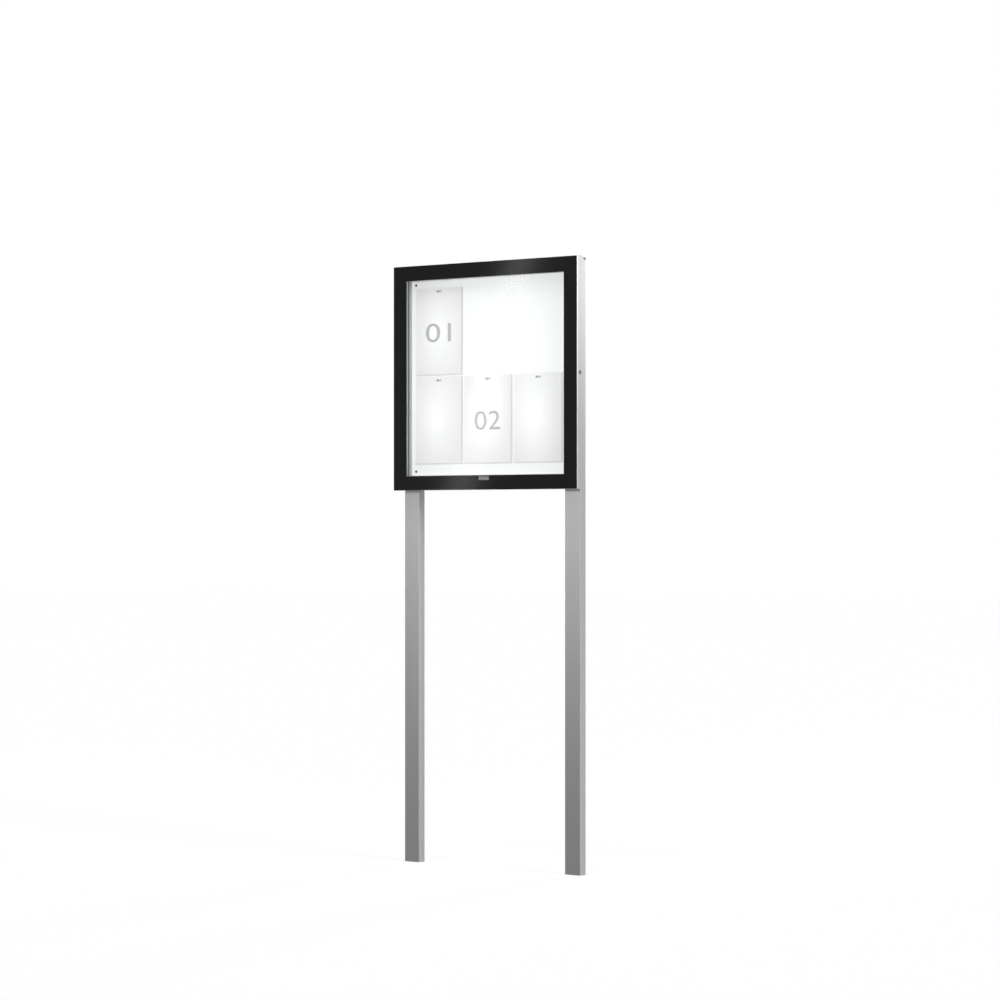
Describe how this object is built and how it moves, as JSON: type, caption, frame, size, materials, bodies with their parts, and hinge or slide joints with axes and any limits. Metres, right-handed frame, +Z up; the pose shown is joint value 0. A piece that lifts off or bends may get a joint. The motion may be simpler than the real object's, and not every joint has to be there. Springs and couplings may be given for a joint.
{
  "type": "lockable notice board",
  "caption": "Upright glazed notice case with a black-bordered glass door, carried on the front of slim rectangular posts.",
  "frame": {"origin": "on the ground, midway between the two posts and on their centre plane", "axes": "+X to the reader's right along the board, -Y towards the reader, +Z up"},
  "size_m": [0.8048, 0.074, 2.028],
  "materials": {
    "aluminium_frame": "satin silver anodised extrusion",
    "aluminium_door": "satin silver anodised extrusion",
    "post_aluminium": "satin silver anodised tube",
    "cleat_metal": "plain cast aluminium",
    "door_glass": "clear toughened glass with a gloss black printed border",
    "white_panel": "smooth white enamelled steel",
    "black_plastic": "fine matt moulded plastic",
    "seal_rubber": "soft dark rubber section",
    "stainless": "plain stainless steel",
    "lock_chrome": "bright nickel plate",
    "paper": "matt white paper",
    "magnet": "plastic-coated bar magnet"
  },
  "bodies": {
    "board": {"left_post": "post_aluminium", "right_post": "post_aluminium", "left_post_cap": "black_plastic", "right_post_cap": "black_plastic", "case_left": "aluminium_frame", "case_top": "aluminium_frame", "case_right": "aluminium_frame", "case_bottom": "aluminium_frame", "case_corner_cleats": "cleat_metal", "back_panel": "white_panel", "hole_plugs": "black_plastic", "door_seal": "seal_rubber", "post_spacers": "black_plastic", "sliding_nuts": "stainless", "case_bolts": "stainless", "hinge_case_leaf": "stainless", "hinge_pin": "stainless", "lock_housing": "lock_chrome", "lock_nut": "lock_chrome", "notice_top_left": "paper", "notice_bottom_left": "paper", "notice_bottom_middle": "paper", "notice_bottom_right": "paper", "notice_magnets": "magnet"},
    "door": {"door_glass": "door_glass", "door_left": "aluminium_door", "door_top": "aluminium_door", "door_right": "aluminium_door", "door_bottom": "aluminium_door", "door_corner_cleats": "cleat_metal", "hinge_door_leaf": "stainless"},
    "lock": {"lock_plug": "lock_chrome", "lock_hook": "stainless", "hook_screw": "stainless"}
  },
  "joints": [
    {"name": "door_hinge", "type": "hinge", "parent": "board", "child": "door", "pos_m": [-0.4018, -0.0437, 1.647], "axis": [0, 0, -1], "range_deg": [0, 180]},
    {"name": "lock_turn", "type": "hinge", "parent": "board", "child": "lock", "pos_m": [0.399, -0.0384, 1.647], "axis": [-1, 0, 0], "range_deg": [0, 90]}
  ]
}
